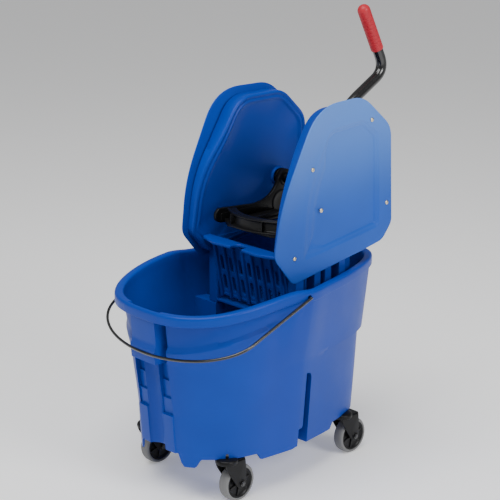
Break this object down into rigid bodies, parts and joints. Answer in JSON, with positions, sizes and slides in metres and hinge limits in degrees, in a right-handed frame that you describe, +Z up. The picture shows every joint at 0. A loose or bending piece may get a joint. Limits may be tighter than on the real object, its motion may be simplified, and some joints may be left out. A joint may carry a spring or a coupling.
{
  "type": "mop bucket with wringer",
  "caption": "Wheeled mop bucket with a bail and a lift-off down-press wringer between two tall side shells, worked by a long cranked handle.",
  "frame": {"origin": "on the floor under the middle of the bounding box", "axes": "+Z up, +X across the width, +Y towards the wringer and handle, the pouring end is at -Y"},
  "size_m": [0.4028, 0.676, 0.91],
  "materials": {
    "bucket_plastic": "moulded blue polypropylene, fine satin grain",
    "wringer_plastic": "moulded blue plastic, satin",
    "black_plastic": "black glass-filled nylon, satin gloss",
    "black_steel": "gloss black coated steel",
    "grip_vinyl": "red dipped vinyl",
    "tyre_rubber": "grey non-marking tread",
    "zinc_plate": "bright zinc plated"
  },
  "bodies": {
    "bucket": {"bucket_shell": "bucket_plastic", "caster_fl_stem": "zinc_plate", "caster_fr_stem": "zinc_plate", "caster_rl_stem": "zinc_plate", "caster_rr_stem": "zinc_plate"},
    "bail": {"bail_wire": "black_steel"},
    "wringer": {"wringer_basket": "wringer_plastic", "inner_shell_left": "wringer_plastic", "inner_shell_right": "wringer_plastic", "outer_cover_left": "wringer_plastic", "outer_cover_right": "wringer_plastic", "cover_screws_left": "zinc_plate", "cover_screws_right": "zinc_plate", "shaft_bush_left": "black_plastic", "shaft_bush_right": "black_plastic"},
    "press": {"press_shaft": "black_steel", "press_arm_left": "black_plastic", "press_arm_right": "black_plastic", "press_yoke": "black_plastic", "press_plate": "black_plastic", "handle_socket": "black_plastic", "handle_tube": "black_steel", "handle_grip": "grip_vinyl", "socket_bolts": "zinc_plate"},
    "swivel_fl": {"caster_fl_fork": "black_steel", "caster_fl_axle": "zinc_plate"},
    "wheel_fl": {"caster_fl_hub": "black_plastic", "caster_fl_tyre": "tyre_rubber"},
    "swivel_fr": {"caster_fr_fork": "black_steel", "caster_fr_axle": "zinc_plate"},
    "wheel_fr": {"caster_fr_hub": "black_plastic", "caster_fr_tyre": "tyre_rubber"},
    "swivel_rl": {"caster_rl_fork": "black_steel", "caster_rl_axle": "zinc_plate"},
    "wheel_rl": {"caster_rl_hub": "black_plastic", "caster_rl_tyre": "tyre_rubber"},
    "swivel_rr": {"caster_rr_fork": "black_steel", "caster_rr_axle": "zinc_plate"},
    "wheel_rr": {"caster_rr_hub": "black_plastic", "caster_rr_tyre": "tyre_rubber"}
  },
  "joints": [
    {"name": "bail_hinge", "type": "hinge", "parent": "bucket", "child": "bail", "pos_m": [0, -0.083, 0.402], "axis": [-1, 0, 0], "range_deg": [0, 101]},
    {"name": "wringer_lift", "type": "slide", "parent": "bucket", "child": "wringer", "axis": [0, 0, 1], "range_m": [0, 0.15]},
    {"name": "press_hinge", "type": "hinge", "parent": "wringer", "child": "press", "pos_m": [0, 0.13, 0.553], "axis": [1, 0, 0], "range_deg": [0, 45]},
    {"name": "swivel_fl_turn", "type": "hinge", "parent": "bucket", "child": "swivel_fl", "pos_m": [-0.119, -0.228, 0.0955], "axis": [0, 0, 1], "continuous": true},
    {"name": "wheel_fl_roll", "type": "hinge", "parent": "swivel_fl", "child": "wheel_fl", "pos_m": [-0.119, -0.203, 0.038], "axis": [1, 0, 0], "continuous": true},
    {"name": "swivel_fr_turn", "type": "hinge", "parent": "bucket", "child": "swivel_fr", "pos_m": [0.119, -0.228, 0.0955], "axis": [0, 0, 1], "continuous": true},
    {"name": "wheel_fr_roll", "type": "hinge", "parent": "swivel_fr", "child": "wheel_fr", "pos_m": [0.119, -0.203, 0.038], "axis": [1, 0, 0], "continuous": true},
    {"name": "swivel_rl_turn", "type": "hinge", "parent": "bucket", "child": "swivel_rl", "pos_m": [-0.119, 0.095, 0.0955], "axis": [0, 0, 1], "continuous": true},
    {"name": "wheel_rl_roll", "type": "hinge", "parent": "swivel_rl", "child": "wheel_rl", "pos_m": [-0.119, 0.12, 0.038], "axis": [1, 0, 0], "continuous": true},
    {"name": "swivel_rr_turn", "type": "hinge", "parent": "bucket", "child": "swivel_rr", "pos_m": [0.119, 0.095, 0.0955], "axis": [0, 0, 1], "continuous": true},
    {"name": "wheel_rr_roll", "type": "hinge", "parent": "swivel_rr", "child": "wheel_rr", "pos_m": [0.119, 0.12, 0.038], "axis": [1, 0, 0], "continuous": true}
  ]
}
